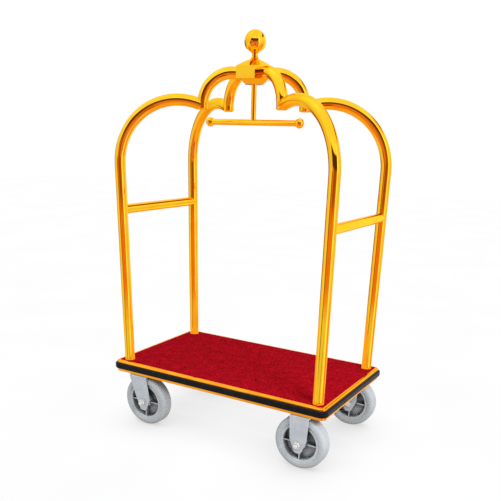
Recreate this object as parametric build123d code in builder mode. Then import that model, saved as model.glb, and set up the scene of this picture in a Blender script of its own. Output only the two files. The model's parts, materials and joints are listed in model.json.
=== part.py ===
"""Hotel luggage cart with a birdcage frame: four arched posts, a crown with a finial and a garment bar,
a carpeted deck with a rubber bumper, two swivel casters and two fixed casters.

Frame: millimetres, origin on the floor under the middle of the deck, +X along the deck towards the fixed
casters, +Y across the deck, +Z up.  Front is the -Y side, left is the -X side.
"""

from build123d import *
import math
import os

# ---- posts and crown -------------------------------------------------------------------------------
POST_X = 525.0  # the posts stand at plus and minus this
POST_Y = 280.0
TUBE_R = 24.0
TUBE_WALL = 2.0
ARCH_START_Z = 1237.5  # the posts are straight up to here
ARCH_R = 270.0  # centre line of the big arches
POST_END_GAP = 6.0  # the posts' coped ends stop this far short of the arms' centre lines
ARM_REACH = 221.0  # from the cart's axis to the stub of a crown arm, along the diagonal
ARM_R = 129.0  # centre line of the crown arms
ARM_TOP_Z = 1616.0  # the arms enter the hub at this height
STUB_END_Z = 1480.0
CAP_T = 10.0  # height of a stub's domed end cap
CAP_ROUND = 8.0
CAP_SPIGOT = 10.0
CROSS_BAR_Z = 1044.0
CROSS_BAR_R = 21.0

# ---- hub, finial and garment bar -------------------------------------------------------------------
HUB_APOTHEM = 76.0  # from the axis to each of the six faces
HUB_BOTTOM_Z = 1592.0
HUB_TOP_Z = 1640.0
HUB_WALL = 6.0
ROOF_TOP_Z = 1662.0
ROOF_TOP_APOTHEM = 34.0
COLLAR_BOTTOM_Z = 1573.0
COLLAR_TOP_APOTHEM = 58.0
COLLAR_BOTTOM_APOTHEM = 38.0
STUD_R = 6.0
STUD_BOTTOM_Z = 1548.0
STUD_TOP_Z = 1708.0
FINIAL_FOOT_R = 30.0
FINIAL_FOOT_EDGE = 2.0
FINIAL_FLARE_R = 26.0
FINIAL_NECK_R = 12.5
FINIAL_NECK_Z = (1679.0, 1691.0)
FINIAL_BALL_R = 45.0
FINIAL_BALL_Z = 1733.0
FINIAL_CONE_ANGLE = math.radians(57)  # where the cone meets the ball, from the ball's lowest point
GARMENT_ROD_R = 11.0
GARMENT_BAR_Z = 1425.0
GARMENT_BAR_R = 12.5
GARMENT_BALL_X = 225.0
GARMENT_BALL_R = 20.0

# ---- feet of the posts: plug inside the tube, flanged bolt from below -------------------------------
FOOT_PLUG_H = 30.0
FOOT_BOLT_R = 6.0
FOOT_HEAD_R = 10.8
FOOT_HEAD_H = 8.0
FOOT_FLANGE_R = 14.0
FOOT_FLANGE_T = 2.5

# ---- deck ------------------------------------------------------------------------------------------
DECK_HALF_X = 588.0  # outside of the bumper
DECK_HALF_Y = 340.5
DECK_CORNER_R = 34.0
BUMPER_TOP_Z = 306.0
BUMPER_H = 31.0
BUMPER_DEPTH = 14.5
BUMPER_ROUND = 9.0
CHANNEL_BOTTOM_Z = 262.0
CHANNEL_WEB = 3.0
NOSING_H = 12.0  # gold lip above the bumper
NOSING_W = 15.0
NOSING_PROUD = 4.0  # how far both lips stand out of the web
NOSING_ROUND = 10.0
LOWER_LIP_ROUND = 1.2
BOARD_TOP_Z = 311.0
BOARD_T = 18.0
CARPET_TOP_Z = 321.0
CARPET_GAP = 0.4
RAIL_Y = 150.0
RAIL_W = 40.0
RAIL_WALL = 2.5
RAIL_START_X = -560.0
BEAM_W = 92.0
BEAM_HALF_Y = 318.0
SCREW_R = 2.5
SCREW_HEAD_R = 5.0
SCREW_LENGTH = 30.0
SCREW_ROWS_X = (-500, -200, 100, 380)

# ---- casters ---------------------------------------------------------------------------------------
WHEEL_R = 125.0
TYRE_INNER_R = 96.0
TYRE_W = 68.0
TYRE_CROWN_R = 18.0
TYRE_BEAD_R = 3.0
RIM_INNER_R = 82.0
RIM_W = 62.0
HUB_R = 24.0
HUB_W = 78.0
CORE_WEB = 6.0  # half thickness of the core's web next to the hub
RIB_T = 5.0
RIB_COUNT = 4
BUSHING_R = 15.0
SLEEVE_R = 11.0
AXLE_R = 8.0
CASTER_Y = 287.0
FIXED_AXLE_X = 463.0
KINGPIN_X = -450.0
TRAIL = 42.0
FORK_INSIDE = 82.0
FORK_T = 6.0
FORK_BEND_R = 5.0
FORK_TIP_R = 16.0
CROWN_TOP_Z = 260.0
PLATE_X = 92.0
PLATE_Y = 70.0
PLATE_T = 6.0
PLATE_BOLT_X = 36.0  # bolt holes at plus and minus this from the plate's middle
PLATE_BOLT_Y = 25.0
RACE_R = 30.0
RACE_SPLIT = (272.5, 275.5)  # top of the lower race and bottom of the upper one
BALL_R = 5.0
BALL_PITCH_R = 22.0
BALL_COUNT = 12
KINGPIN_R = 7.0
RUNNING_GAP = 0.06  # radial clearance of everything that turns
NUT_R = 9.8  # hexagon circumradius of the thin M10 nuts
NUT_H = 5.0
BOLT_R = 5.0
BOLT_HEAD_R = 10.0
PLATE_ROUND = 8.0
LEG_KNEE_UP = 18.0  # the legs start to taper this far above the axle
LEG_KNEE_HALF_W = 40.0
LEG_KNEE_ROUND = 18.0
LEG_TIP_DOWN = 42.0
SWIVEL_LEG_TOP = (36.0, 64.0)  # leg's top edge in front of and behind the kingpin
AXLE_HEX_R = 15.6
AXLE_HEAD_H = 10.0
AXLE_NUT_H = 16.0
AXLE_FLANGE_R = 19.5
AXLE_FLANGE_T = 4.0
AXLE_END = 9.0  # thread that stands out of the nut
KINGPIN_HEAD_R = 11.0
KINGPIN_HEAD_H = 4.0
SINK_HALF_ANGLE = math.radians(41)  # half angle of the countersunk heads

# ---- worked out from the above ---------------------------------------------------------------------
DIAGONAL = math.hypot(POST_X, POST_Y)  # cart's axis to a post
DIR_X = POST_X / DIAGONAL
DIR_Y = POST_Y / DIAGONAL
BOARD_BOTTOM_Z = BOARD_TOP_Z - BOARD_T
NOSING_TOP_Z = BUMPER_TOP_Z + NOSING_H
FRAME_BOTTOM_Z = CROWN_TOP_Z + PLATE_T  # rails and beam fill the space between plate and board
LEG_OUT = FORK_INSIDE / 2 + FORK_T  # from the middle of a wheel to the outside of its fork
RAIL_END_X = FIXED_AXLE_X - BEAM_W / 2
GARMENT_BAR_END_X = GARMENT_BALL_X - math.sqrt(GARMENT_BALL_R**2 - GARMENT_BAR_R**2)
FINIAL_CONE_TOP = (
    FINIAL_BALL_R * math.sin(FINIAL_CONE_ANGLE),
    FINIAL_BALL_Z - FINIAL_BALL_R * math.cos(FINIAL_CONE_ANGLE),
)

SIDES = {"front": -1, "rear": 1}
ENDS = {"left": -1, "right": 1}
CORNERS = [(f"{side}_{end}", sx, sy) for side, sy in SIDES.items() for end, sx in ENDS.items()]
POST_PLACES = [(sx * POST_X, sy * POST_Y) for _, sx, sy in CORNERS]
STUB_PLACES = [(sx * DIR_X * ARM_REACH, sy * DIR_Y * ARM_REACH) for _, sx, sy in CORNERS]
SCREW_PLACES = [(x, y) for x in SCREW_ROWS_X for y in (-RAIL_Y, RAIL_Y)]
SWIVEL_PLACES = [(KINGPIN_X, sy * CASTER_Y) for sy in SIDES.values()]
FIXED_PLACES = [(FIXED_AXLE_X, sy * CASTER_Y) for sy in SIDES.values()]

os.makedirs("parts", exist_ok=True)


def save(piece, name):
    """Labels a finished piece and writes its STEP file."""
    piece.part.label = name
    export_step(piece.part, f"parts/{name}.step")


# Upright plane through the cart's axis and the front right post: local x outwards, local y upwards.
DIAGONAL_PLANE = Plane(origin=(0, 0, 0), x_dir=(DIR_X, -DIR_Y, 0), z_dir=(-DIR_Y, -DIR_X, 0))


def post_line():
    """Centre line of a post: straight up, then over the top of the arch and down to the crown arm."""
    arch_centre = DIAGONAL - ARCH_R
    sweep_angle = math.degrees(math.acos((ARM_REACH + POST_END_GAP - arch_centre) / ARCH_R))
    with BuildLine(DIAGONAL_PLANE) as line:
        Line((DIAGONAL, BOARD_TOP_Z), (DIAGONAL, ARCH_START_Z))
        CenterArc((arch_centre, ARCH_START_Z), ARCH_R, 0, sweep_angle)
    return line.wires()[0]


def arm_line(start_z):
    """Centre line of a crown arm: from its short upright stub round a quarter turn into the hub's face."""
    stub_top = ARM_TOP_Z - ARM_R
    with BuildLine(DIAGONAL_PLANE) as line:
        Line((ARM_REACH, start_z), (ARM_REACH, stub_top))
        CenterArc((ARM_REACH - ARM_R, stub_top), ARM_R, 0, 90)
        Line((ARM_REACH - ARM_R, ARM_TOP_Z), (HUB_APOTHEM, ARM_TOP_Z))
    return line.wires()[0]


def start_plane(wire):
    """Plane square to a wire at its start."""
    return Plane(origin=wire @ 0, z_dir=wire % 0)


def tube_section(radius):
    """Ring that is swept or extruded into a tube."""
    Circle(radius)
    Circle(radius - TUBE_WALL, mode=Mode.SUBTRACT)


def save_at_corners(front_right, name):
    """Writes the front right piece and its mirror images at the other three corners."""
    for corner, sx, sy in CORNERS:
        shape = front_right.part
        if sx < 0:
            shape = shape.mirror(Plane.YZ)
        if sy > 0:
            shape = shape.mirror(Plane.XZ)
        with BuildPart() as piece:
            add(shape)
        save(piece, f"{name}_{corner}")


# ---- posts, each coped to its crown arm ------------------------------------------------------------
centre_line = post_line()
coping_line = arm_line(STUB_END_Z - 2 * TUBE_R)
with BuildPart() as post:
    with BuildSketch(start_plane(centre_line)):
        tube_section(TUBE_R)
    sweep(path=centre_line)
    with BuildSketch(start_plane(coping_line)):
        Circle(TUBE_R)
    sweep(path=coping_line, mode=Mode.SUBTRACT)
save_at_corners(post, "post")

arm_centre_line = arm_line(STUB_END_Z)
with BuildPart() as crown_arm:
    with BuildSketch(start_plane(arm_centre_line)):
        tube_section(TUBE_R)
    sweep(path=arm_centre_line)
save_at_corners(crown_arm, "crown_arm")

with BuildPart() as arm_end_caps:
    with BuildSketch(Plane.XY.offset(STUB_END_Z - CAP_T)):
        with Locations(*STUB_PLACES):
            Circle(TUBE_R)
    extrude(amount=CAP_T)
    fillet(arm_end_caps.edges().group_by(Axis.Z)[0], CAP_ROUND)
    with BuildSketch(Plane.XY.offset(STUB_END_Z)):
        with Locations(*STUB_PLACES):
            Circle(TUBE_R - TUBE_WALL)
    extrude(amount=CAP_SPIGOT)
save(arm_end_caps, "arm_end_caps")

# ---- cross bars between the posts at each end ------------------------------------------------------
for end, sx in ENDS.items():
    with BuildPart() as cross_bar:
        with BuildSketch(Plane.XZ.offset(-POST_Y)):
            with Locations((sx * POST_X, CROSS_BAR_Z)):
                tube_section(CROSS_BAR_R)
        extrude(amount=2 * POST_Y)
        with BuildSketch(Plane.XY.offset(CROSS_BAR_Z - 2 * CROSS_BAR_R)):
            with Locations((sx * POST_X, -POST_Y), (sx * POST_X, POST_Y)):
                Circle(TUBE_R)
        extrude(amount=4 * CROSS_BAR_R, mode=Mode.SUBTRACT)
    save(cross_bar, f"cross_bar_{end}")

# ---- hub: a six-sided block whose faces look along the arms ----------------------------------------


def hub_outline(apothem):
    """Six-sided outline: one face square to each crown arm and one on each side of the cart."""
    tip = apothem / DIR_X
    shoulder = apothem * (1 - DIR_Y) / DIR_X
    Polygon(
        (tip, 0),
        (shoulder, apothem),
        (-shoulder, apothem),
        (-tip, 0),
        (-shoulder, -apothem),
        (shoulder, -apothem),
    )


with BuildPart() as hub_block:
    with BuildSketch(Plane.XY.offset(HUB_BOTTOM_Z)):
        hub_outline(HUB_APOTHEM)
    extrude(amount=HUB_TOP_Z - HUB_BOTTOM_Z)
    with BuildSketch(Plane.XY.offset(HUB_BOTTOM_Z + HUB_WALL)):
        hub_outline(HUB_APOTHEM - HUB_WALL)
    extrude(amount=HUB_TOP_Z, mode=Mode.SUBTRACT)
    with Locations((0, 0, HUB_BOTTOM_Z)):
        Hole(STUD_R)
save(hub_block, "hub_block")

with BuildPart() as hub_roof:
    with BuildSketch(Plane.XY.offset(HUB_TOP_Z)):
        hub_outline(HUB_APOTHEM)
    with BuildSketch(Plane.XY.offset(ROOF_TOP_Z)):
        hub_outline(ROOF_TOP_APOTHEM)
    loft()
    with BuildSketch(Plane.XY.offset(HUB_TOP_Z)):
        hub_outline(HUB_APOTHEM - 2 * HUB_WALL)
    with BuildSketch(Plane.XY.offset(ROOF_TOP_Z - HUB_WALL)):
        hub_outline(ROOF_TOP_APOTHEM - HUB_WALL)
    loft(mode=Mode.SUBTRACT)
    with Locations((0, 0, ROOF_TOP_Z)):
        Hole(STUD_R)
save(hub_roof, "hub_roof")

with BuildPart() as hub_collar:
    with BuildSketch(Plane.XY.offset(COLLAR_BOTTOM_Z)):
        hub_outline(COLLAR_BOTTOM_APOTHEM)
    with BuildSketch(Plane.XY.offset(HUB_BOTTOM_Z)):
        hub_outline(COLLAR_TOP_APOTHEM)
    loft()
    with Locations((0, 0, HUB_BOTTOM_Z)):
        Hole(STUD_R)
save(hub_collar, "hub_collar")

with BuildPart() as hub_stud:
    with BuildSketch(Plane.XY.offset(STUD_BOTTOM_Z)):
        Circle(STUD_R)
    extrude(amount=STUD_TOP_Z - STUD_BOTTOM_Z)
save(hub_stud, "hub_stud")

# ---- finial: foot, neck, cone and ball turned in one piece -----------------------------------------
with BuildPart() as finial:
    with BuildSketch(Plane.XZ):
        with BuildLine():
            Line((STUD_R, ROOF_TOP_Z), (FINIAL_FOOT_R, ROOF_TOP_Z))
            foot_edge = Line((FINIAL_FOOT_R, ROOF_TOP_Z), (FINIAL_FOOT_R, ROOF_TOP_Z + FINIAL_FOOT_EDGE))
            RadiusArc(foot_edge @ 1, (FINIAL_NECK_R, FINIAL_NECK_Z[0]), FINIAL_FLARE_R)
            Line((FINIAL_NECK_R, FINIAL_NECK_Z[0]), (FINIAL_NECK_R, FINIAL_NECK_Z[1]))
            Line((FINIAL_NECK_R, FINIAL_NECK_Z[1]), FINIAL_CONE_TOP)
            RadiusArc(FINIAL_CONE_TOP, (0, FINIAL_BALL_Z + FINIAL_BALL_R), -FINIAL_BALL_R)
            Line((0, FINIAL_BALL_Z + FINIAL_BALL_R), (0, STUD_TOP_Z))
            Line((0, STUD_TOP_Z), (STUD_R, STUD_TOP_Z))
            Line((STUD_R, STUD_TOP_Z), (STUD_R, ROOF_TOP_Z))
        make_face()
    revolve(axis=Axis.Z)
save(finial, "finial")

# ---- garment rod and bar under the hub -------------------------------------------------------------
with BuildPart() as garment_rod:
    with BuildSketch(Plane.XY.offset(GARMENT_BAR_Z)):
        Circle(GARMENT_ROD_R)
    extrude(amount=COLLAR_BOTTOM_Z - GARMENT_BAR_Z)
    with BuildSketch(Plane.YZ.offset(-GARMENT_ROD_R)):
        with Locations((0, GARMENT_BAR_Z)):
            Circle(GARMENT_BAR_R)
    extrude(amount=2 * GARMENT_ROD_R, mode=Mode.SUBTRACT)
    with BuildSketch(Plane.XY.offset(STUD_BOTTOM_Z)):
        Circle(STUD_R)
    extrude(amount=COLLAR_BOTTOM_Z - STUD_BOTTOM_Z, mode=Mode.SUBTRACT)
save(garment_rod, "garment_rod")

with BuildPart() as garment_bar:
    with BuildSketch(Plane.YZ.offset(-GARMENT_BAR_END_X)):
        with Locations((0, GARMENT_BAR_Z)):
            tube_section(GARMENT_BAR_R)
    extrude(amount=2 * GARMENT_BAR_END_X)
save(garment_bar, "garment_bar")

with BuildPart() as garment_bar_balls:
    with Locations((-GARMENT_BALL_X, 0, GARMENT_BAR_Z), (GARMENT_BALL_X, 0, GARMENT_BAR_Z)):
        Sphere(GARMENT_BALL_R)
    with Locations((0, 0, GARMENT_BAR_Z)):
        Box(2 * GARMENT_BAR_END_X, 2 * GARMENT_BALL_R, 2 * GARMENT_BALL_R, mode=Mode.SUBTRACT)
save(garment_bar_balls, "garment_bar_balls")

# ---- feet of the posts: plug inside the tube, flanged bolt from below -------------------------------
with BuildPart() as foot_plugs:
    with BuildSketch(Plane.XY.offset(BOARD_TOP_Z)):
        with Locations(*POST_PLACES):
            Circle(TUBE_R - TUBE_WALL)
            Circle(FOOT_BOLT_R, mode=Mode.SUBTRACT)
    extrude(amount=FOOT_PLUG_H)
save(foot_plugs, "foot_plugs")

with BuildPart() as post_bolts:
    with BuildSketch(Plane.XY.offset(BOARD_BOTTOM_Z - FOOT_FLANGE_T)):
        with Locations(*POST_PLACES):
            RegularPolygon(radius=FOOT_HEAD_R, side_count=6)
    extrude(amount=-FOOT_HEAD_H)
    with BuildSketch(Plane.XY.offset(BOARD_BOTTOM_Z - FOOT_FLANGE_T)):
        with Locations(*POST_PLACES):
            Circle(FOOT_FLANGE_R)
    extrude(amount=FOOT_FLANGE_T)
    with BuildSketch(Plane.XY.offset(BOARD_BOTTOM_Z)):
        with Locations(*POST_PLACES):
            Circle(FOOT_BOLT_R)
    extrude(amount=BOARD_T + FOOT_PLUG_H)
save(post_bolts, "post_bolts")

# ---- deck ------------------------------------------------------------------------------------------


def deck_ring(inset_out, inset_in):
    """Rounded rectangle ring; insets are measured inwards from the outside of the bumper."""
    deck_shape(inset_out)
    deck_shape(inset_in, mode=Mode.SUBTRACT)


def deck_shape(inset, mode=Mode.ADD):
    RectangleRounded(
        2 * (DECK_HALF_X - inset), 2 * (DECK_HALF_Y - inset), max(DECK_CORNER_R - inset, 1), mode=mode
    )


def bolt_places(plates):
    """Four bolt holes round the middle of each caster's top plate."""
    corners = [(sx * PLATE_BOLT_X, sy * PLATE_BOLT_Y) for _, sx, sy in CORNERS]
    return [(x + dx, y + dy) for x, y in plates for dx, dy in corners]


with BuildPart() as edge_channel:
    with BuildSketch(Plane.XY.offset(BUMPER_TOP_Z)):
        deck_shape(BUMPER_DEPTH - NOSING_PROUD)
    extrude(amount=NOSING_H)
    fillet(edge_channel.edges().group_by(Axis.Z)[-1], NOSING_ROUND)
    with BuildSketch(Plane.XY.offset(BOARD_TOP_Z)):
        deck_shape(BUMPER_DEPTH - NOSING_PROUD + NOSING_W)
    extrude(amount=NOSING_TOP_Z - BOARD_TOP_Z, mode=Mode.SUBTRACT)
    with BuildSketch(Plane.XY.offset(BUMPER_TOP_Z)):
        deck_shape(BUMPER_DEPTH + CHANNEL_WEB)
    extrude(amount=BOARD_TOP_Z - BUMPER_TOP_Z, mode=Mode.SUBTRACT)
    with BuildSketch(Plane.XY.offset(CHANNEL_BOTTOM_Z)):
        deck_ring(BUMPER_DEPTH, BUMPER_DEPTH + CHANNEL_WEB)
    extrude(amount=BUMPER_TOP_Z - CHANNEL_BOTTOM_Z)
    with BuildSketch(Plane.XY.offset(CHANNEL_BOTTOM_Z)):
        deck_ring(BUMPER_DEPTH - NOSING_PROUD, BUMPER_DEPTH)
    extrude(amount=BUMPER_TOP_Z - BUMPER_H - CHANNEL_BOTTOM_Z)
    fillet(edge_channel.edges().group_by(Axis.Z)[0], LOWER_LIP_ROUND)
save(edge_channel, "edge_channel")

with BuildPart() as bumper:
    with BuildSketch(Plane.XY.offset(BUMPER_TOP_Z - BUMPER_H)):
        deck_shape(0)
    extrude(amount=BUMPER_H)
    fillet(bumper.faces().filter_by(Axis.Z).edges(), BUMPER_ROUND)
    with BuildSketch(Plane.XY.offset(BUMPER_TOP_Z - BUMPER_H)):
        deck_shape(BUMPER_DEPTH)
    extrude(amount=BUMPER_H, mode=Mode.SUBTRACT)
save(bumper, "bumper")

with BuildPart() as deck_board:
    with BuildSketch(Plane.XY.offset(BOARD_BOTTOM_Z)):
        deck_shape(BUMPER_DEPTH + CHANNEL_WEB + CARPET_GAP)
    extrude(amount=BOARD_T)
    with Locations(*[(x, y, BOARD_TOP_Z) for x, y in POST_PLACES]):
        Hole(FOOT_BOLT_R)
    with Locations(*[(x, y, BOARD_TOP_Z) for x, y in bolt_places(SWIVEL_PLACES + FIXED_PLACES)]):
        CounterSinkHole(BOLT_R, BOLT_HEAD_R)
    with Locations(*[(x, y, BOARD_TOP_Z) for x, y in SCREW_PLACES]):
        CounterSinkHole(SCREW_R, SCREW_HEAD_R)
save(deck_board, "deck_board")

with BuildPart() as deck_carpet:
    with BuildSketch(Plane.XY.offset(BOARD_TOP_Z + CARPET_GAP)):
        deck_shape(BUMPER_DEPTH - NOSING_PROUD + NOSING_W + CARPET_GAP)
        with Locations(*POST_PLACES):
            Circle(TUBE_R + CARPET_GAP, mode=Mode.SUBTRACT)
    extrude(amount=CARPET_TOP_Z - BOARD_TOP_Z - CARPET_GAP)
save(deck_carpet, "deck_carpet")

# ---- frame under the board -------------------------------------------------------------------------
frame_height = BOARD_BOTTOM_Z - FRAME_BOTTOM_Z
frame_mid_z = (BOARD_BOTTOM_Z + FRAME_BOTTOM_Z) / 2

for side, sy in SIDES.items():
    with BuildPart() as frame_rail:
        with BuildSketch(Plane.YZ.offset(RAIL_START_X)):
            with Locations((sy * RAIL_Y, frame_mid_z)):
                RectangleRounded(RAIL_W, frame_height, RAIL_WALL + 1)
                RectangleRounded(
                    RAIL_W - 2 * RAIL_WALL, frame_height - 2 * RAIL_WALL, 1, mode=Mode.SUBTRACT
                )
        extrude(amount=RAIL_END_X - RAIL_START_X)
        with Locations(*[(x, y, BOARD_BOTTOM_Z) for x, y in SCREW_PLACES if y * sy > 0]):
            Hole(SCREW_R, depth=2 * RAIL_WALL)
    save(frame_rail, f"frame_rail_{side}")

with BuildPart() as caster_beam:
    with BuildSketch(Plane.XZ.offset(-BEAM_HALF_Y)):
        with Locations((FIXED_AXLE_X, frame_mid_z)):
            RectangleRounded(BEAM_W, frame_height, RAIL_WALL + 1)
            RectangleRounded(BEAM_W - 2 * RAIL_WALL, frame_height - 2 * RAIL_WALL, 1, mode=Mode.SUBTRACT)
    extrude(amount=2 * BEAM_HALF_Y)
    with Locations(*[(x, y, BOARD_BOTTOM_Z) for x, y in bolt_places(FIXED_PLACES)]):
        Hole(BOLT_R)
save(caster_beam, "caster_beam")

with BuildPart() as board_screws:
    head_h = (SCREW_HEAD_R - SCREW_R) / math.tan(SINK_HALF_ANGLE)
    with Locations(*[(x, y, BOARD_TOP_Z - head_h / 2) for x, y in SCREW_PLACES]):
        Cone(bottom_radius=SCREW_R, top_radius=SCREW_HEAD_R, height=head_h)
    with BuildSketch(Plane.XY.offset(BOARD_TOP_Z - SCREW_LENGTH)):
        with Locations(*SCREW_PLACES):
            Circle(SCREW_R)
    extrude(amount=SCREW_LENGTH - head_h)
save(board_screws, "board_screws")

# ---- caster bolts: flat heads under the carpet, thin nuts under the plates -------------------------
nut_seats = [(place, BOARD_BOTTOM_Z - PLATE_T) for place in bolt_places(SWIVEL_PLACES)]
nut_seats += [(place, CROWN_TOP_Z - FORK_T) for place in bolt_places(FIXED_PLACES)]

with BuildPart() as caster_bolts:
    head_h = (BOLT_HEAD_R - BOLT_R) / math.tan(SINK_HALF_ANGLE)
    for (x, y), seat_z in nut_seats:
        with Locations((x, y, BOARD_TOP_Z - head_h / 2)):
            Cone(bottom_radius=BOLT_R, top_radius=BOLT_HEAD_R, height=head_h)
        with BuildSketch(Plane.XY.offset(seat_z - NUT_H)):
            with Locations((x, y)):
                Circle(BOLT_R)
        extrude(amount=BOARD_TOP_Z - head_h - seat_z + NUT_H)
save(caster_bolts, "caster_bolts")

with BuildPart() as caster_nuts:
    for (x, y), seat_z in nut_seats:
        with BuildSketch(Plane.XY.offset(seat_z - NUT_H)):
            with Locations((x, y)):
                RegularPolygon(radius=NUT_R, side_count=6)
                Circle(BOLT_R, mode=Mode.SUBTRACT)
        extrude(amount=NUT_H)
save(caster_nuts, "caster_nuts")

# ---- casters ---------------------------------------------------------------------------------------


def fork_leg_outline(axle_x, top_left, top_right):
    """Flat leg: straight sides that taper below the axle to a rounded tip."""
    knee_z = WHEEL_R + LEG_KNEE_UP
    tip_z = WHEEL_R - LEG_TIP_DOWN
    shoulder_z = CROWN_TOP_Z - 1.5 * FORK_T
    Polygon(
        (top_left, CROWN_TOP_Z),
        (top_right, CROWN_TOP_Z),
        (top_right, shoulder_z),
        (axle_x + LEG_KNEE_HALF_W, knee_z),
        (axle_x + FORK_TIP_R, tip_z),
        (axle_x - FORK_TIP_R, tip_z),
        (axle_x - LEG_KNEE_HALF_W, knee_z),
        (top_left, shoulder_z),
        align=None,
    )


def build_fork(axle_x, y, top_left, top_right):
    """Adds both legs and the crown of a fork to the part that is being built."""
    for leg_start in (y - LEG_OUT, y + FORK_INSIDE / 2):
        with BuildSketch(Plane.XZ.offset(-leg_start)) as leg:
            fork_leg_outline(axle_x, top_left, top_right)
            fillet(leg.vertices().group_by(Axis.Y)[0], FORK_TIP_R * 0.9)
            fillet(leg.vertices().group_by(Axis.Y)[-3], LEG_KNEE_ROUND)
            with Locations((axle_x, WHEEL_R)):
                Circle(AXLE_R, mode=Mode.SUBTRACT)
        extrude(leg.sketch, amount=-FORK_T)
    with BuildSketch(Plane.XZ.offset(-y)) as crown_section:
        with Locations(((top_left + top_right) / 2, CROWN_TOP_Z - FORK_T / 2)):
            Rectangle(top_right - top_left, FORK_T)
    extrude(crown_section.sketch, amount=LEG_OUT, both=True)
    fillet(edges().filter_by(Axis.X).group_by(Axis.Z)[-1], FORK_BEND_R)


def top_plate(x, y, bottom_z):
    """Adds a caster's top plate with its bolt holes to the part that is being built."""
    with BuildSketch(Plane.XY.offset(bottom_z)) as plate:
        with Locations((x, y)):
            RectangleRounded(PLATE_X, PLATE_Y, PLATE_ROUND)
        with Locations(*bolt_places([(x, y)])):
            Circle(BOLT_R, mode=Mode.SUBTRACT)
    extrude(plate.sketch, amount=PLATE_T)


def axle_plane(x, y):
    """Plane square to a wheel's axle at the middle of the wheel."""
    return Plane(origin=(x, y, WHEEL_R), x_dir=(1, 0, 0), z_dir=(0, -1, 0))


def build_wheel(name, x, y):
    """Writes the tyre, core and bushing of one wheel."""
    axle = Axis((x, y, WHEEL_R), (0, 1, 0))
    section = Plane(origin=(x, y, WHEEL_R), x_dir=(0, 1, 0), z_dir=(1, 0, 0))

    with BuildPart() as tyre:
        with BuildSketch(section) as tyre_section:
            with Locations((0, (TYRE_INNER_R + WHEEL_R) / 2)):
                Rectangle(TYRE_W, WHEEL_R - TYRE_INNER_R)
            fillet(tyre_section.vertices().group_by(Axis.Y)[-1], TYRE_CROWN_R)
            fillet(tyre_section.vertices().group_by(Axis.Y)[0], TYRE_BEAD_R)
        revolve(axis=axle)
    save(tyre, f"tyre_{name}")

    with BuildPart() as wheel_core:
        with BuildSketch(section):
            with BuildLine():
                half_outline = Polyline(
                    (HUB_W / 2, BUSHING_R),
                    (HUB_W / 2, HUB_R - 2),
                    (HUB_W / 2 - 5, HUB_R),
                    (CORE_WEB, HUB_R + 12),
                    (CORE_WEB / 2, RIM_INNER_R - 5),
                    (RIM_W / 2 - 2, RIM_INNER_R),
                    (RIM_W / 2, RIM_INNER_R + 2),
                    (RIM_W / 2, TYRE_INNER_R),
                )
                mirror(half_outline, about=Plane.YZ)
                Line((HUB_W / 2, BUSHING_R), (-HUB_W / 2, BUSHING_R))
                Line((RIM_W / 2, TYRE_INNER_R), (-RIM_W / 2, TYRE_INNER_R))
            make_face()
        revolve(axis=axle)
        with BuildSketch(axle_plane(x, y)):
            with PolarLocations((HUB_R + RIM_INNER_R) / 2, RIB_COUNT):
                Rectangle(RIM_INNER_R - HUB_R + 4, RIB_T)
        extrude(amount=RIM_W / 2 - 5, both=True)
    save(wheel_core, f"wheel_core_{name}")

    with BuildPart() as wheel_bushing:
        with BuildSketch(axle_plane(x, y)):
            Circle(BUSHING_R)
            Circle(SLEEVE_R + RUNNING_GAP, mode=Mode.SUBTRACT)
        extrude(amount=HUB_W / 2 + 1, both=True)
    save(wheel_bushing, f"wheel_bushing_{name}")


def build_axle_bolts(name, places):
    """Writes the bolt of each listed wheel: head on the inner side of the fork, thread end outside."""
    with BuildPart() as axle_bolt:
        for x, y in places:
            outwards = math.copysign(1, y)
            with BuildSketch(axle_plane(x, y - outwards * LEG_OUT)):
                RegularPolygon(radius=AXLE_HEX_R, side_count=6)
            extrude(amount=outwards * AXLE_HEAD_H)
            with BuildSketch(axle_plane(x, y - outwards * LEG_OUT)):
                Circle(AXLE_R)
            extrude(amount=-outwards * (2 * LEG_OUT + AXLE_NUT_H + AXLE_END))
    save(axle_bolt, name)


def build_axle_nuts(name, places):
    """Writes the flanged nut of each listed wheel, on the outer side of the fork."""
    with BuildPart() as axle_nut:
        for x, y in places:
            outwards = math.copysign(1, y)
            seat = y + outwards * LEG_OUT
            with BuildSketch(axle_plane(x, seat)):
                Circle(AXLE_FLANGE_R)
                Circle(AXLE_R, mode=Mode.SUBTRACT)
            extrude(amount=-outwards * AXLE_FLANGE_T)
            with BuildSketch(axle_plane(x, seat + outwards * AXLE_FLANGE_T)):
                RegularPolygon(radius=AXLE_HEX_R, side_count=6)
                Circle(AXLE_R, mode=Mode.SUBTRACT)
            extrude(amount=-outwards * (AXLE_NUT_H - AXLE_FLANGE_T))
    save(axle_nut, name)


def build_axle_sleeves(name, places):
    """Writes the spacer sleeve of each listed wheel, clamped between the fork's legs."""
    with BuildPart() as axle_sleeve:
        for x, y in places:
            with BuildSketch(axle_plane(x, y)):
                Circle(SLEEVE_R)
                Circle(AXLE_R, mode=Mode.SUBTRACT)
            extrude(amount=FORK_INSIDE / 2, both=True)
    save(axle_sleeve, name)


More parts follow.
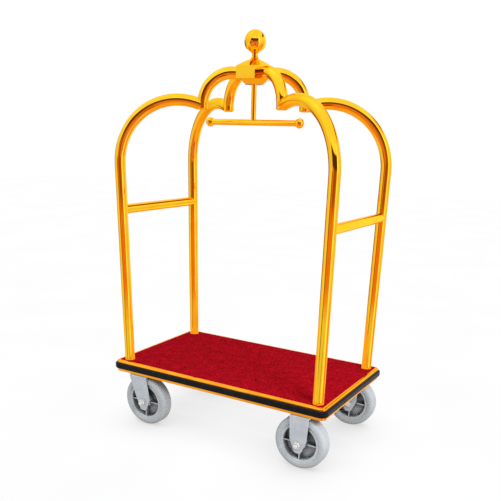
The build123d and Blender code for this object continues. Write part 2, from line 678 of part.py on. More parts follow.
for side, sy in SIDES.items():
    caster_y = sy * CASTER_Y

    # swivel caster: plate with upper race, fork with lower race, wheel behind the kingpin
    with BuildPart() as swivel_plate:
        top_plate(KINGPIN_X, caster_y, BOARD_BOTTOM_Z - PLATE_T)
        with BuildSketch(Plane.XY.offset(RACE_SPLIT[1])):
            with Locations((KINGPIN_X, caster_y)):
                Circle(RACE_R)
        extrude(amount=BOARD_BOTTOM_Z - PLATE_T - RACE_SPLIT[1])
        with Locations((KINGPIN_X, caster_y, sum(RACE_SPLIT) / 2)):
            Torus(BALL_PITCH_R, BALL_R, mode=Mode.SUBTRACT)
        with Locations((KINGPIN_X, caster_y, BOARD_BOTTOM_Z)):
            Hole(KINGPIN_R)
    save(swivel_plate, f"swivel_plate_{side}")

    with BuildPart() as swivel_fork:
        leg_top = (KINGPIN_X - SWIVEL_LEG_TOP[0], KINGPIN_X + SWIVEL_LEG_TOP[1])
        build_fork(KINGPIN_X + TRAIL, caster_y, *leg_top)
        with BuildSketch(Plane.XY.offset(CROWN_TOP_Z)):
            with Locations((KINGPIN_X, caster_y)):
                Circle(RACE_R)
        extrude(amount=RACE_SPLIT[0] - CROWN_TOP_Z)
        with Locations((KINGPIN_X, caster_y, sum(RACE_SPLIT) / 2)):
            Torus(BALL_PITCH_R, BALL_R + RUNNING_GAP, mode=Mode.SUBTRACT)
        with Locations((KINGPIN_X, caster_y, RACE_SPLIT[0])):
            Hole(KINGPIN_R + RUNNING_GAP)
    save(swivel_fork, f"swivel_fork_{side}")

    swivel_axle = [(KINGPIN_X + TRAIL, caster_y)]
    build_axle_bolts(f"swivel_axle_bolt_{side}", swivel_axle)
    build_axle_nuts(f"swivel_axle_nut_{side}", swivel_axle)
    build_axle_sleeves(f"swivel_axle_sleeve_{side}", swivel_axle)
    build_wheel(f"swivel_{side}", KINGPIN_X + TRAIL, caster_y)

    # fixed caster: fork welded to its plate
    with BuildPart() as fixed_fork:
        build_fork(FIXED_AXLE_X, caster_y, FIXED_AXLE_X - PLATE_X / 2, FIXED_AXLE_X + PLATE_X / 2)
        top_plate(FIXED_AXLE_X, caster_y, CROWN_TOP_Z)
        with BuildSketch(Plane.XY.offset(CROWN_TOP_Z - FORK_T)):
            with Locations(*bolt_places([(FIXED_AXLE_X, caster_y)])):
                Circle(BOLT_R)
        extrude(amount=FORK_T, mode=Mode.SUBTRACT)
    save(fixed_fork, f"fixed_fork_{side}")
    build_wheel(f"fixed_{side}", FIXED_AXLE_X, caster_y)

build_axle_bolts("fixed_axle_bolts", FIXED_PLACES)
build_axle_nuts("fixed_axle_nuts", FIXED_PLACES)
build_axle_sleeves("fixed_axle_sleeves", FIXED_PLACES)

with BuildPart() as kingpins:
    with BuildSketch(Plane.XY.offset(CROWN_TOP_Z - FORK_T - 2 * RUNNING_GAP)):
        with Locations(*SWIVEL_PLACES):
            Circle(KINGPIN_HEAD_R)
    extrude(amount=-KINGPIN_HEAD_H)
    fillet(kingpins.edges().group_by(Axis.Z)[0], KINGPIN_HEAD_H / 2)
    with BuildSketch(Plane.XY.offset(CROWN_TOP_Z - FORK_T - 2 * RUNNING_GAP)):
        with Locations(*SWIVEL_PLACES):
            Circle(KINGPIN_R)
    extrude(amount=BOARD_BOTTOM_Z - CROWN_TOP_Z + FORK_T + 2 * RUNNING_GAP)
save(kingpins, "kingpins")

with BuildPart() as swivel_balls:
    for place in SWIVEL_PLACES:
        with Locations((*place, sum(RACE_SPLIT) / 2)):
            with PolarLocations(BALL_PITCH_R, BALL_COUNT):
                Sphere(BALL_R)
save(swivel_balls, "swivel_balls")
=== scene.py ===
"""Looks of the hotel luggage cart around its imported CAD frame: materials, carpet pile, studio, camera."""

import json
import math

import bmesh
import bpy
from mathutils import Matrix, Vector, noise


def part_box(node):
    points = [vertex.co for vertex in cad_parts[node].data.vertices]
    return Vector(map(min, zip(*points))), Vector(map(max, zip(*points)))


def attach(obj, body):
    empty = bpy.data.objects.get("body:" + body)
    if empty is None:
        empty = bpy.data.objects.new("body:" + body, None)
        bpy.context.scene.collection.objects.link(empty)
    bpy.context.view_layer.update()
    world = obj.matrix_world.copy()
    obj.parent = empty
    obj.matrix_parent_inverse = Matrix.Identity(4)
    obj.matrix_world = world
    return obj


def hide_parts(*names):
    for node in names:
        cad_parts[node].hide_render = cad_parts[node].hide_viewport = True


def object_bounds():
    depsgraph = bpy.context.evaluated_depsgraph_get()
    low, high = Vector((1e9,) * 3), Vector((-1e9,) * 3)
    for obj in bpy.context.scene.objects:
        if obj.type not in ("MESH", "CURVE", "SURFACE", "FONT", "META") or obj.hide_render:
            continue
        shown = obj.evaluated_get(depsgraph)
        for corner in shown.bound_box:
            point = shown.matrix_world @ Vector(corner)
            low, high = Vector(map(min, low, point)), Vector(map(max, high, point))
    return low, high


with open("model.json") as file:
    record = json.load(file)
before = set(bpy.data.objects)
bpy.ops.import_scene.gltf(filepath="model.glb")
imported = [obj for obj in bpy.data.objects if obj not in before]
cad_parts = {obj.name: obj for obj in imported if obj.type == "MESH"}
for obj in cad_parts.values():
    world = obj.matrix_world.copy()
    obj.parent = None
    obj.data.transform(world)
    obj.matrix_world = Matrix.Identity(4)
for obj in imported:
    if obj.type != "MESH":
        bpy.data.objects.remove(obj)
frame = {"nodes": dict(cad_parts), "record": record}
CAD_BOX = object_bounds()
NODES = frame["nodes"]

MM = 0.001
DEGREES = 180.0 / math.pi

# viewpoint of the photo
CAMERA_AZIMUTH = math.radians(29.928)
CAMERA_ELEVATION = math.radians(23.203)
CAMERA_ROLL = math.radians(1.632)
CAMERA_PLACE = (1.5604, -2.6431, 1.3781)
LENS_MM = 46.20
LENS_SHIFT = (-0.00473, 0.31837)  # shift lens of the viewpoint above; other viewpoints use no shift


# ---- small helpers for node trees ------------------------------------------------------------------
class Graph:
    """Adds nodes to one tree and links them, with sockets or plain numbers as inputs."""

    def __init__(self, tree):
        self.tree = tree
        tree.nodes.clear()

    def node(self, kind, inputs=None, **settings):
        made = self.tree.nodes.new(kind)
        for key, value in settings.items():
            setattr(made, key, value)
        for key, value in (inputs or {}).items():
            self.feed(made.inputs[key], value)
        return made

    def feed(self, socket, value):
        if isinstance(value, bpy.types.NodeSocket):
            self.tree.links.new(value, socket)
        elif isinstance(value, tuple) and len(value) == 3 and socket.type == "RGBA":
            socket.default_value = (*value, 1.0)
        else:
            socket.default_value = value

    def math(self, operation, a, b=0.0):
        return self.node("ShaderNodeMath", {0: a, 1: b}, operation=operation).outputs[0]

    def remap(self, value, low, high, to_low=0.0, to_high=1.0):
        """Smooth step from to_low to to_high while the value goes from low to high."""
        inputs = {"Value": value, "From Min": low, "From Max": high, "To Min": to_low, "To Max": to_high}
        return self.node("ShaderNodeMapRange", inputs, interpolation_type="SMOOTHSTEP").outputs["Result"]

    def window(self, value, low, high, soft):
        """1 between low and high, falling smoothly to 0 over the soft width outside them."""
        rise = self.remap(value, low - soft, low)
        fall = self.remap(value, high, high + soft, 1.0, 0.0)
        return self.math("MULTIPLY", rise, fall)

    def mix(self, factor, a, b, blend="MIX"):
        made = self.node("ShaderNodeMix", data_type="RGBA", blend_type=blend)
        self.feed(made.inputs[0], factor)
        self.feed(made.inputs[6], a)
        self.feed(made.inputs[7], b)
        return made.outputs[2]

    def noise(self, where, scale, detail=2.0, rough=0.5):
        inputs = {"Vector": where, "Scale": scale, "Detail": detail, "Roughness": rough}
        return self.node("ShaderNodeTexNoise", inputs).outputs[0]

    def stretched(self, where, scale):
        return self.node("ShaderNodeMapping", {"Vector": where, "Scale": scale}).outputs[0]

    def bump(self, height, strength, distance):
        inputs = {"Height": height, "Strength": strength, "Distance": distance}
        return self.node("ShaderNodeBump", inputs).outputs[0]


def new_material(name):
    """A material with an empty tree: its graph, object coordinates and a function that finishes it."""
    material = bpy.data.materials.new(name)
    material.use_nodes = True
    graph = Graph(material.node_tree)
    where = graph.node("ShaderNodeTexCoord").outputs["Object"]

    def finish(inputs):
        shader = graph.node("ShaderNodeBsdfPrincipled", inputs)
        output = graph.node("ShaderNodeOutputMaterial")
        graph.tree.links.new(shader.outputs[0], output.inputs["Surface"])
        return material

    return graph, where, finish


def edge_mask(graph, radius, gain):
    """Mask for painted edge highlights: white along sharp edges, by how far the rounded normal leans away
    from the true one.
    """
    rounded = graph.node("ShaderNodeBevel", {"Radius": radius}, samples=6).outputs[0]
    true_normal = graph.node("ShaderNodeNewGeometry").outputs["Normal"]
    lean = graph.node("ShaderNodeVectorMath", {0: rounded, 1: true_normal}, operation="DOT_PRODUCT")
    return graph.remap(lean.outputs["Value"], 1.0 - gain, 1.0, 1.0, 0.0)


def compass(graph, direction):
    """Degrees sideways from the photo's viewpoint (right positive) and degrees above level."""
    inputs = {"Vector": direction, "Angle": -CAMERA_AZIMUTH}
    turned = graph.node("ShaderNodeVectorRotate", inputs, rotation_type="Z_AXIS").outputs[0]
    local = graph.node("ShaderNodeSeparateXYZ", {0: turned}).outputs
    behind = graph.math("MULTIPLY", local["Y"], -1.0)
    side = graph.math("MULTIPLY", graph.math("ARCTAN2", local["X"], behind), DEGREES)
    height = graph.math("MULTIPLY", graph.math("ARCSINE", local["Z"]), DEGREES)
    return side, height


# ---- materials -------------------------------------------------------------------------------------
GOLD = (1.0, 0.60, 0.022)
GOLD_PAINTED_REFLECTION = (0.82, 0.22, 0.012)  # painted reflection: darker orange gold painted into the base colour where the polish would mirror the shaded lower wall, on the arches and crown
GOLD_RIM = (1.0, 0.74, 0.28)  # tint of the polish at grazing angles
LOW_WALL_SIDES = (-58.0, 44.0)  # the shaded lower wall in the mirrored room, in degrees; its reflection is painted into the gold's base colour
LOW_WALL_HEIGHTS = (-42.0, -14.0)
PAINTED_REFLECTION_FROM_Z = (0.95, 1.25)  # on the arches, the painted reflection of the lower wall fades in over these heights
GOLD_DEEP = (1.0, 0.53, 0.014)
EDGE_GOLD = (1.0, 0.40, 0.02)
EDGE_GOLD_DEEP = (0.95, 0.33, 0.012)


def gold_material(name, light, deep):
    """Polished gold tube; cloudy between two tones, with faint smudges, and a painted reflection of the
    shaded lower wall in its base colour, set by reflection direction and height.
    """
    graph, where, finish = new_material(name)
    tone = graph.remap(graph.noise(where, 9.0, 3.0), 0.35, 0.65)
    smudges = graph.remap(graph.noise(where, 26.0, 5.0, 0.6), 0.45, 0.75, 0.05, 0.12)
    waves = graph.noise(where, 7.0, 1.0)
    # painted reflection: the base colour turns darker orange where the reflection direction points at the
    # lower wall, above a set height
    side, height = compass(graph, graph.node("ShaderNodeTexCoord").outputs["Reflection"])
    place = graph.node("ShaderNodeNewGeometry").outputs["Position"]
    above_floor = graph.node("ShaderNodeSeparateXYZ", {0: place}).outputs["Z"]
    across = graph.window(side, *LOW_WALL_SIDES, 8.0)
    low_wall = graph.math("MULTIPLY", across, graph.window(height, *LOW_WALL_HEIGHTS, 4.0))
    shaded = graph.math("MULTIPLY", low_wall, graph.remap(above_floor, *PAINTED_REFLECTION_FROM_Z))
    return finish({
        "Base Color": graph.mix(shaded, graph.mix(tone, light, deep), GOLD_PAINTED_REFLECTION), "Metallic": 1.0,
        "Roughness": smudges, "Specular Tint": GOLD_RIM,
        "Normal": graph.bump(waves, 0.06, 0.002), "Coat Weight": 0.15, "Coat Roughness": 0.04,
    })


def carpet_material():
    """Red cut pile. Polish mirrors it as a painted warm glow, emission seen only by glossy rays, because
    deep red would stain the posts' feet.
    """
    graph, where, finish = new_material("red_cut_pile")
    cloud = graph.noise(where, 22.0, 4.0, 0.6)
    clump = graph.noise(where, 85.0, 3.0, 0.6)
    tuft = graph.noise(where, 230.0, 3.0, 0.75)
    yarn = graph.node("ShaderNodeTexVoronoi", {"Vector": where, "Scale": 420.0}).outputs["Distance"]
    color = graph.mix(graph.remap(cloud, 0.36, 0.66), (0.33, 0.0025, 0.008), (0.45, 0.004, 0.013))
    color = graph.mix(graph.remap(clump, 0.34, 0.52, 0.55, 0.0), color, (0.15, 0.0008, 0.003))
    color = graph.mix(graph.remap(tuft, 0.36, 0.54, 0.95, 0.0), color, (0.09, 0.0005, 0.002))
    color = graph.mix(graph.remap(tuft, 0.56, 0.70, 0.0, 0.7), color, (0.78, 0.016, 0.035))
    color = graph.mix(graph.remap(yarn, 0.25, 0.75, 0.0, 0.35), color, (0.12, 0.001, 0.003))
    height = graph.math("ADD", graph.math("MULTIPLY", tuft, 0.7), graph.math("MULTIPLY", yarn, -0.4))
    # painted glow: warm emission seen only by glossy rays, so reflections show the carpet as a warm glow
    mirrored = graph.node("ShaderNodeLightPath").outputs["Is Glossy Ray"]
    return finish({
        "Base Color": color, "Roughness": 1.0, "Specular IOR Level": 0.0,
        "Sheen Weight": 0.04, "Sheen Roughness": 0.5, "Sheen Tint": (1.0, 0.1, 0.12),
        "Normal": graph.bump(height, 0.8, 0.0025),
        "Emission Color": (0.95, 0.76, 0.48), "Emission Strength": graph.math("MULTIPLY", mirrored, 0.8),
    })


def rubber_material():
    graph, where, finish = new_material("black_bumper_rubber")
    dust = graph.remap(graph.noise(where, 34.0, 5.0, 0.65), 0.42, 0.72)
    color = graph.mix(dust, (0.005, 0.005, 0.006), (0.011, 0.011, 0.012))
    grain = graph.noise(where, 900.0, 2.0)
    return finish({
        "Base Color": color, "Roughness": graph.remap(dust, 0.0, 1.0, 0.38, 0.55),
        "Specular IOR Level": 0.1, "Normal": graph.bump(grain, 0.1, 0.0003),
    })


def tyre_material():
    graph, where, finish = new_material("grey_tyre")
    cloud = graph.noise(where, 17.0, 4.0, 0.6)
    color = graph.mix(graph.remap(cloud, 0.35, 0.7), (0.375, 0.405, 0.42), (0.42, 0.45, 0.465))
    scuff = graph.remap(graph.noise(where, 120.0, 4.0, 0.7), 0.66, 0.80, 0.0, 0.25)
    color = graph.mix(scuff, color, (0.27, 0.28, 0.29))
    grain = graph.noise(where, 700.0, 2.0)
    return finish({
        "Base Color": color, "Roughness": graph.remap(cloud, 0.3, 0.7, 0.36, 0.5),
        "Specular IOR Level": 0.5, "Normal": graph.bump(grain, 0.1, 0.0003),
    })


def core_material():
    graph, where, finish = new_material("grey_wheel_core")
    cloud = graph.noise(where, 28.0, 4.0, 0.6)
    color = graph.mix(graph.remap(cloud, 0.35, 0.7), (0.42, 0.45, 0.47), (0.50, 0.525, 0.54))
    # painted highlight: lighter grey along sharp edges
    edge = edge_mask(graph, 2.0 * MM, 0.25)
    color_with_painted_light = graph.mix(graph.math("MULTIPLY", edge, 0.6), color, (0.74, 0.76, 0.77))
    # painted shade: recesses darken to near black by ambient occlusion
    shut_in = graph.node("ShaderNodeAmbientOcclusion", {"Distance": 0.06}, samples=8).outputs["AO"]
    painted_shade = graph.remap(shut_in, 0.28, 0.78, 0.95, 0.0)
    color_with_painted_light = graph.mix(painted_shade, color_with_painted_light, (0.035, 0.04, 0.045))
    grain = graph.noise(where, 1100.0, 2.0)
    return finish({
        "Base Color": color_with_painted_light, "Roughness": 0.42, "Normal": graph.bump(grain, 0.12, 0.0003),
    })


def fork_material():
    graph, where, finish = new_material("satin_grey_paint")
    cloud = graph.noise(where, 24.0, 4.0, 0.6)
    color = graph.mix(graph.remap(cloud, 0.35, 0.7), (0.43, 0.475, 0.52), (0.52, 0.56, 0.60))
    # painted highlight: near white along sharp edges
    edge = edge_mask(graph, 2.2 * MM, 0.2)
    color = graph.mix(graph.math("MULTIPLY", edge, 0.8), color, (0.86, 0.88, 0.9))
    peel = graph.noise(where, 420.0, 2.0)
    return finish({
        "Base Color": color, "Metallic": 0.25, "Roughness": graph.remap(cloud, 0.3, 0.7, 0.3, 0.42),
        "Normal": graph.bump(peel, 0.08, 0.0004),
    })


def zinc_material():
    graph, where, finish = new_material("bright_zinc")
    cloud = graph.noise(where, 90.0, 3.0)
    color = graph.mix(graph.remap(cloud, 0.35, 0.7), (0.72, 0.73, 0.72), (0.84, 0.84, 0.82))
    # painted highlight: near white along sharp edges
    edge = edge_mask(graph, 1.2 * MM, 0.25)
    color = graph.mix(graph.math("MULTIPLY", edge, 0.8), color, (0.97, 0.97, 0.95))
    # painted shade: crevices darken to dark grey by ambient occlusion
    shut_in = graph.node("ShaderNodeAmbientOcclusion", {"Distance": 0.012}, samples=8).outputs["AO"]
    color = graph.mix(graph.remap(shut_in, 0.45, 0.9, 0.75, 0.0), color, (0.10, 0.10, 0.10))
    return finish({
        "Base Color": color, "Metallic": 0.35, "Roughness": graph.remap(cloud, 0.3, 0.7, 0.26, 0.38),
        "Normal": graph.bump(cloud, 0.04, 0.0003),
    })


def steel_material():
    graph, where, finish = new_material("ground_steel")
    lines = graph.noise(graph.stretched(where, (60.0, 2200.0, 60.0)), 1.0, 3.0)
    color = graph.mix(graph.remap(lines, 0.3, 0.7), (0.50, 0.51, 0.53), (0.66, 0.67, 0.69))
    return finish({
        "Base Color": color, "Metallic": 1.0, "Roughness": graph.remap(lines, 0.3, 0.7, 0.2, 0.34),
        "Normal": graph.bump(lines, 0.08, 0.0003),
    })


def black_paint_material():
    graph, where, finish = new_material("black_powder_coat")
    cloud = graph.noise(where, 20.0, 4.0)
    color = graph.mix(graph.remap(cloud, 0.35, 0.7), (0.030, 0.030, 0.033), (0.055, 0.055, 0.060))
    peel = graph.noise(where, 800.0, 2.0)
    return finish({"Base Color": color, "Roughness": 0.45, "Normal": graph.bump(peel, 0.25, 0.0004)})


def bushing_material():
    graph, where, finish = new_material("dark_bushing_plastic")
    cloud = graph.noise(where, 150.0, 3.0)
    color = graph.mix(graph.remap(cloud, 0.35, 0.7), (0.06, 0.06, 0.065), (0.11, 0.11, 0.115))
    return finish({"Base Color": color, "Roughness": 0.5, "Normal": graph.bump(cloud, 0.1, 0.0003)})


PLY_PAIR = 5.2 * MM  # thickness of one light and one dark ply


def plywood_material():
    graph, where, finish = new_material("plywood")
    grain = graph.noise(graph.stretched(where, (5.0, 90.0, 90.0)), 1.0, 5.0, 0.65)
    height = graph.node("ShaderNodeSeparateXYZ", {0: where}).outputs["Z"]
    ply = graph.math("SINE", graph.math("MULTIPLY", height, math.tau / PLY_PAIR))
    color = graph.mix(graph.remap(grain, 0.3, 0.7), (0.36, 0.22, 0.11), (0.58, 0.41, 0.24))
    color = graph.mix(graph.remap(ply, -0.4, 0.6, 0.0, 0.3), color, (0.22, 0.12, 0.06))
    return finish({"Base Color": color, "Roughness": 0.6, "Normal": graph.bump(grain, 0.2, 0.0005)})


# one material for each material slot of the record
MATERIALS = {
    "gold": gold_material("polished_gold", GOLD, GOLD_DEEP),
    "red_carpet": carpet_material(),
    "black_rubber": rubber_material(),
    "grey_tyre": tyre_material(),
    "grey_plastic": core_material(),
    "grey_paint": fork_material(),
    "zinc": zinc_material(),
    "steel": steel_material(),
    "black_paint": black_paint_material(),
    "bushing_plastic": bushing_material(),
    "plywood": plywood_material(),
}

for part in frame["record"]["subparts"]:
    node = NODES[part["node"]]
    node.data.materials.clear()
    node.data.materials.append(MATERIALS[part["material_slot"]])

# the deck's edge channel is a deeper, more orange gold than the tubes
edge_gold = gold_material("anodised_edge_gold", EDGE_GOLD, EDGE_GOLD_DEEP)
NODES["edge_channel"].data.materials[0] = edge_gold


# ---- carpet: one closed sheet of cut pile with rounded edges, open round the posts ------------------
GRID = 3.4 * MM
PILE_EDGE = 4.0 * MM  # width over which the pile rolls down at its outline
PILE_DIP = 2.5 * MM
DECK_CORNER_R = 34.0 * MM
PLUG_R = 22.0 * MM  # plugs inside the posts
HOLE_R = 24.5 * MM  # openings round the posts
TUFT_HEIGHT = 0.9 * MM
TUFT_SCALE = 150.0  # lumps of the pile per metre, coarse and fine
YARN_SCALE = 380.0
YARN_SHARE = 0.6
EDGE_CALM = 0.6  # how much flatter the lumps are where the pile rolls down
TOP_SLACK = 0.3 * MM  # no tuft stands higher above the CAD's carpet than this
ON_OUTLINE = 1e-7


def clamp_to_rounded(x, y, half_x, half_y, radius):
    """The point, moved onto the rounded rectangle if it lies outside, and how deep it was inside."""
    corner_x = max(abs(x) - (half_x - radius), 0.0)
    corner_y = max(abs(y) - (half_y - radius), 0.0)
    reach = math.hypot(corner_x, corner_y)
    in_corner = corner_x and corner_y
    depth = min(half_x - abs(x), half_y - abs(y), radius - reach if in_corner else math.inf)
    if depth >= 0:
        return x, y, depth
    if in_corner:
        shrink = radius / reach
        new_x = half_x - radius + corner_x * shrink
        new_y = half_y - radius + corner_y * shrink
        return math.copysign(new_x, x), math.copysign(new_y, y), depth
    return max(-half_x, min(half_x, x)), max(-half_y, min(half_y, y)), depth


def pile_height(x, y, edge):
    """Height of the tufts against the carpet's flat top; edge goes from 0 inside to 1 on an outline."""
    coarse = noise.noise(Vector((x, y, 0.0)) * TUFT_SCALE)
    fine = noise.noise(Vector((x, y, 3.0)) * YARN_SCALE)
    tuft = coarse + YARN_SHARE * fine
    return TUFT_HEIGHT * tuft * (1.0 - EDGE_CALM * edge) - TUFT_HEIGHT - PILE_DIP * edge * edge


def carpet_mesh():
    """Closed sheet: a grid of tufts on top, a flat grid below and a border between their outlines."""
    low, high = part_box("deck_carpet")
    half_x, half_y = high.x, high.y
    corner_r = DECK_CORNER_R - (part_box("bumper")[1].x - half_x)
    plugs_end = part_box("foot_plugs")[1]
    post_x, post_y = plugs_end.x - PLUG_R, plugs_end.y - PLUG_R
    columns = int(round(2 * half_x / GRID)) + 2
    rows = int(round(2 * half_y / GRID)) + 2
    mesh = bmesh.new()
    top = {}
    bottom = {}
    inside = {}
    for i in range(columns + 1):
        for j in range(rows + 1):
            x = (i - columns / 2) * GRID
            y = (j - rows / 2) * GRID
            x, y, depth = clamp_to_rounded(x, y, half_x, half_y, corner_r)
            centre_x = math.copysign(post_x, x)
            centre_y = math.copysign(post_y, y)
            away = math.hypot(x - centre_x, y - centre_y)
            hole_depth = away - HOLE_R
            if hole_depth < 0 and away > 0:
                x = centre_x + (x - centre_x) * HOLE_R / away
                y = centre_y + (y - centre_y) * HOLE_R / away
            inside[i, j] = depth > -ON_OUTLINE and hole_depth > -ON_OUTLINE
            edge = max(0.0, 1.0 - max(min(depth, hole_depth), 0.0) / PILE_EDGE)
            z = high.z + min(pile_height(x, y, edge), TOP_SLACK)
            top[i, j] = mesh.verts.new((x, y, z))
            bottom[i, j] = mesh.verts.new((x, y, low.z))
    for i in range(columns):
        for j in range(rows):
            keys = [(i, j), (i + 1, j), (i + 1, j + 1), (i, j + 1)]
            if any(inside[key] for key in keys):
                mesh.faces.new([top[key] for key in keys])
                mesh.faces.new([bottom[key] for key in reversed(keys)])
    mesh.verts.ensure_lookup_table()
    for key_a, key_b in boundary_pairs(mesh, top):
        mesh.faces.new([top[key_b], top[key_a], bottom[key_a], bottom[key_b]])
    loose = [vert for vert in mesh.verts if not vert.link_faces]
    bmesh.ops.delete(mesh, geom=loose, context="VERTS")
    bmesh.ops.remove_doubles(mesh, verts=mesh.verts, dist=0.02 * MM)
    bmesh.ops.dissolve_degenerate(mesh, edges=mesh.edges, dist=0.01 * MM)
    bmesh.ops.recalc_face_normals(mesh, faces=mesh.faces)
    return mesh


def boundary_pairs(mesh, grid):
    """Pairs of grid keys along the open border of the top sheet, in the order their face walks them."""
    key_of = {vert: key for key, vert in grid.items()}
    pairs = []
    for face in list(mesh.faces):
        if face.verts[0] not in key_of:
            continue
        for loop in face.loops:
            if len(loop.edge.link_faces) == 1:
                pairs.append((key_of[loop.vert], key_of[loop.link_loop_next.vert]))
    return pairs


def add_object(name, mesh, material):
    data = bpy.data.meshes.new(name)
    mesh.to_mesh(data)
    mesh.free()
    data.materials.append(material)
    for polygon in data.polygons:
        polygon.use_smooth = True
    made = bpy.data.objects.new(name, data)
    bpy.context.scene.collection.objects.link(made)
    return made


carpet = add_object("carpet_pile", carpet_mesh(), MATERIALS["red_carpet"])
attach(carpet, "cart")
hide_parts("deck_carpet")

# ---- studio: pale floor, white surround, a warm room behind the camera that the polish mirrors -------
FLOOR_SIZE = 30.0
CONTACT_REACH = 0.35  # how far the contact shadows spread


def floor_material():
    """Near white with soft contact shadows for the camera, plain grey for light, and clear from below."""
    graph, where, _ = new_material("pale_floor")
    mottle = graph.remap(graph.noise(where, 1.5, 2.0), 0.3, 0.7)
    shut_in = graph.node("ShaderNodeAmbientOcclusion", {"Distance": CONTACT_REACH}, samples=16)
    shade = graph.remap(shut_in.outputs["AO"], 0.1, 1.0, 0.66, 1.0)
    tint = graph.mix(mottle, (0.985, 0.985, 0.985), (1.0, 1.0, 1.0))
    seen = graph.node("ShaderNodeEmission", {"Color": graph.mix(1.0, tint, shade, "MULTIPLY")})
    lit = graph.node("ShaderNodeBsdfDiffuse", {"Color": (0.5, 0.5, 0.5)})
    camera_ray = graph.node("ShaderNodeLightPath").outputs["Is Camera Ray"]
    surface = graph.node("ShaderNodeMixShader", {0: camera_ray, 1: lit.outputs[0], 2: seen.outputs[0]})
    from_below = graph.node("ShaderNodeNewGeometry").outputs["Backfacing"]
    clear = graph.node("ShaderNodeBsdfTransparent")
    surface = graph.node("ShaderNodeMixShader", {0: from_below, 1: surface.outputs[0], 2: clear.outputs[0]})
    output = graph.node("ShaderNodeOutputMaterial")
    graph.tree.links.new(surface.outputs[0], output.inputs["Surface"])
    return bpy.data.materials["pale_floor"]


bpy.ops.mesh.primitive_plane_add(size=FLOOR_SIZE, location=(0, 0, CAD_BOX[0].z))
floor = bpy.context.object
floor.name = "studio_floor"
floor.visible_glossy = False
floor.data.materials.append(floor_material())

WHITE = (1.0, 1.0, 1.0)
LIGHT_FROM_BELOW = (0.50, 0.51, 0.53)
ROOM_ORANGE = (0.98, 0.30, 0.12)
ROOM_BROWN = (0.33, 0.11, 0.05)
ROOM_CREAM = (1.2, 1.25, 1.3)
ROOM_DARK = (0.10, 0.03, 0.015)
WARM_FLOOR = (0.92, 0.56, 0.34)
SOFTBOX = (1.5, 1.7, 3.2)

# What stands round the cart in the mirrored room, in degrees: sides, heights, softness of its outline; then
# how strongly it shows and its colour.  The striped wall behind the camera has no colour of its own here.
ROOM_PATCHES = [
    ((-44.0, 34.0), (-12.0, 8.0), 4.0, 1.0, None),  # striped wall
    ((-26.0, 22.0), (-4.5, 8.0), 2.5, 1.0, ROOM_BROWN),  # its shaded upper part
    ((-46.0, 34.0), (8.0, 24.0), 4.0, 1.0, ROOM_DARK),  # lintel over the wall
    ((-56.0, -48.0), (-18.0, 0.0), 3.0, 1.0, ROOM_DARK),  # jamb on the left
    ((42.0, 50.0), (-60.0, 40.0), 3.0, 1.0, SOFTBOX),  # narrow light on the right
    ((124.0, 150.0), (-34.0, 24.0), 4.0, 1.0, ROOM_CREAM),  # pale panel behind on the right
    ((100.0, 150.0), (30.0, 40.0), 4.0, 1.0, ROOM_BROWN),  # beam over the panel
    ((-178.0, -130.0), (-12.0, 6.0), 5.0, 1.0, ROOM_BROWN),  # sideboard behind on the left
    ((2.0, 7.0), (-40.0, -18.0), 2.0, 1.0, ROOM_BROWN),  # post below the wall
    ((75.0, 108.0), (-40.0, -16.0), 6.0, 0.8, ROOM_ORANGE),  # low chest on the right
]


def mirrored_room(graph, direction):
    """Colour of the surroundings as the polish sees them, by the angles that compass gives."""
    side, height = compass(graph, direction)
    squeezed = graph.math("MULTIPLY", height, 0.12)
    place = graph.node("ShaderNodeCombineXYZ", {0: side, 1: squeezed}).outputs[0]
    stripes = graph.noise(place, 0.14, 2.0, 0.6)
    wall = graph.mix(graph.remap(stripes, 0.36, 0.5), ROOM_BROWN, ROOM_ORANGE)
    clouds = graph.noise(direction, 1.7, 2.0)
    brighter_up = graph.remap(height, 0.0, 55.0, 0.98, 1.25)
    level = graph.math("MULTIPLY", brighter_up, graph.remap(clouds, 0.3, 0.7, 0.86, 1.1))
    color = graph.mix(1.0, WHITE, level, "MULTIPLY")
    color = graph.mix(graph.remap(height, -20.0, -48.0), color, WARM_FLOOR)
    for sides, heights, soft, strength, patch_color in ROOM_PATCHES:
        across = graph.window(side, *sides, soft)
        patch = graph.math("MULTIPLY", across, graph.window(height, *heights, soft))
        color = graph.mix(graph.math("MULTIPLY", patch, strength), color, patch_color or wall)
    return color


# the camera sees white, polish sees the room, and everything else is lit softly from above
world = bpy.data.worlds.new("studio")
bpy.context.scene.world = world
world.use_nodes = True
graph = Graph(world.node_tree)
direction = graph.node("ShaderNodeTexCoord").outputs["Generated"]
ray = graph.node("ShaderNodeLightPath").outputs
height = graph.node("ShaderNodeSeparateXYZ", {0: direction}).outputs["Z"]
soft_light = graph.mix(graph.remap(height, -0.3, 1.0), LIGHT_FROM_BELOW, WHITE)
seen = graph.mix(ray["Is Glossy Ray"], soft_light, mirrored_room(graph, direction))
seen = graph.mix(ray["Is Camera Ray"], seen, WHITE)
background = graph.node("ShaderNodeBackground", {"Color": seen})
output = graph.node("ShaderNodeOutputWorld")
graph.tree.links.new(background.outputs[0], output.inputs["Surface"])


def area_light(name, place, aim, size, power):
    """Soft square light that shines from its place towards the aim and isn't mirrored by the polish."""
    data = bpy.data.lights.new(name, "AREA")
    data.size = size
    data.energy = power
    light = bpy.data.objects.new(name, data)
    light.location = place
    light.rotation_mode = "QUATERNION"
    light.rotation_quaternion = (Vector(aim) - Vector(place)).to_track_quat("-Z", "Y")
    light.visible_glossy = False
    bpy.context.scene.collection.objects.link(light)


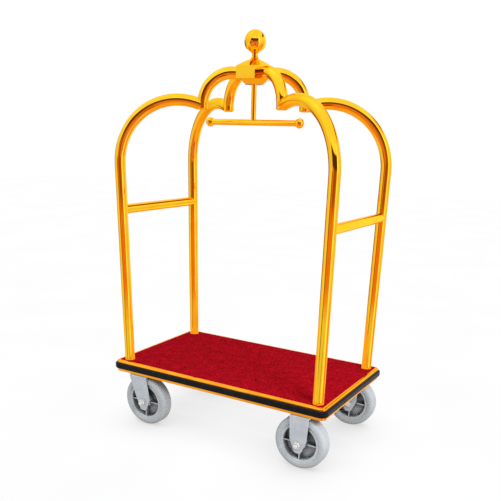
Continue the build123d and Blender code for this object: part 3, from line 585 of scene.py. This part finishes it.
DECK_CENTRE = (0.0, 0.0, 0.3)
area_light("key", (3.0, -1.6, 2.6), DECK_CENTRE, 1.4, 130.0)
area_light("fill", (-2.8, -2.2, 2.2), DECK_CENTRE, 2.5, 25.0)
area_light("rear", (-2.0, 3.2, 2.4), DECK_CENTRE, 2.5, 35.0)

# ---- camera ----------------------------------------------------------------------------------------
camera_data = bpy.data.cameras.new("camera")
camera = bpy.data.objects.new("camera", camera_data)
bpy.context.scene.collection.objects.link(camera)
bpy.context.scene.camera = camera
camera_data.sensor_width = 36.0
camera_data.lens = LENS_MM
camera_data.clip_start = 0.05
camera_data.clip_end = 60.0

flat = math.cos(CAMERA_ELEVATION)
rise = math.sin(CAMERA_ELEVATION)
back = Vector((math.sin(CAMERA_AZIMUTH) * flat, -math.cos(CAMERA_AZIMUTH) * flat, rise))
right = Vector((math.cos(CAMERA_AZIMUTH), math.sin(CAMERA_AZIMUTH), 0.0))
up = back.cross(right)
rolled_right = right * math.cos(CAMERA_ROLL) + up * math.sin(CAMERA_ROLL)
rolled_up = up * math.cos(CAMERA_ROLL) - right * math.sin(CAMERA_ROLL)
turn = Matrix((rolled_right, rolled_up, back)).transposed()
camera.rotation_mode = "QUATERNION"
camera.rotation_quaternion = turn.to_quaternion()
camera.location = CAMERA_PLACE


def shift_only_here(path, amount):
    """Keeps the lens shift while the camera stands at its own place, and drops it anywhere else."""
    setattr(camera_data, path, amount)
    driver = camera_data.driver_add(path).driver
    driver.type = "SCRIPTED"
    variable = driver.variables.new()
    variable.name = "x"
    variable.type = "TRANSFORMS"
    variable.targets[0].id = camera
    variable.targets[0].transform_type = "LOC_X"
    variable.targets[0].transform_space = "WORLD_SPACE"
    driver.expression = f"{amount} if abs(x - {CAMERA_PLACE[0]}) < 0.001 else 0"


shift_only_here("shift_x", LENS_SHIFT[0])
shift_only_here("shift_y", LENS_SHIFT[1])

view = bpy.context.scene.view_settings
view.view_transform = "Standard"
view.look = "None"
view.exposure = 0.0
view.gamma = 1.0
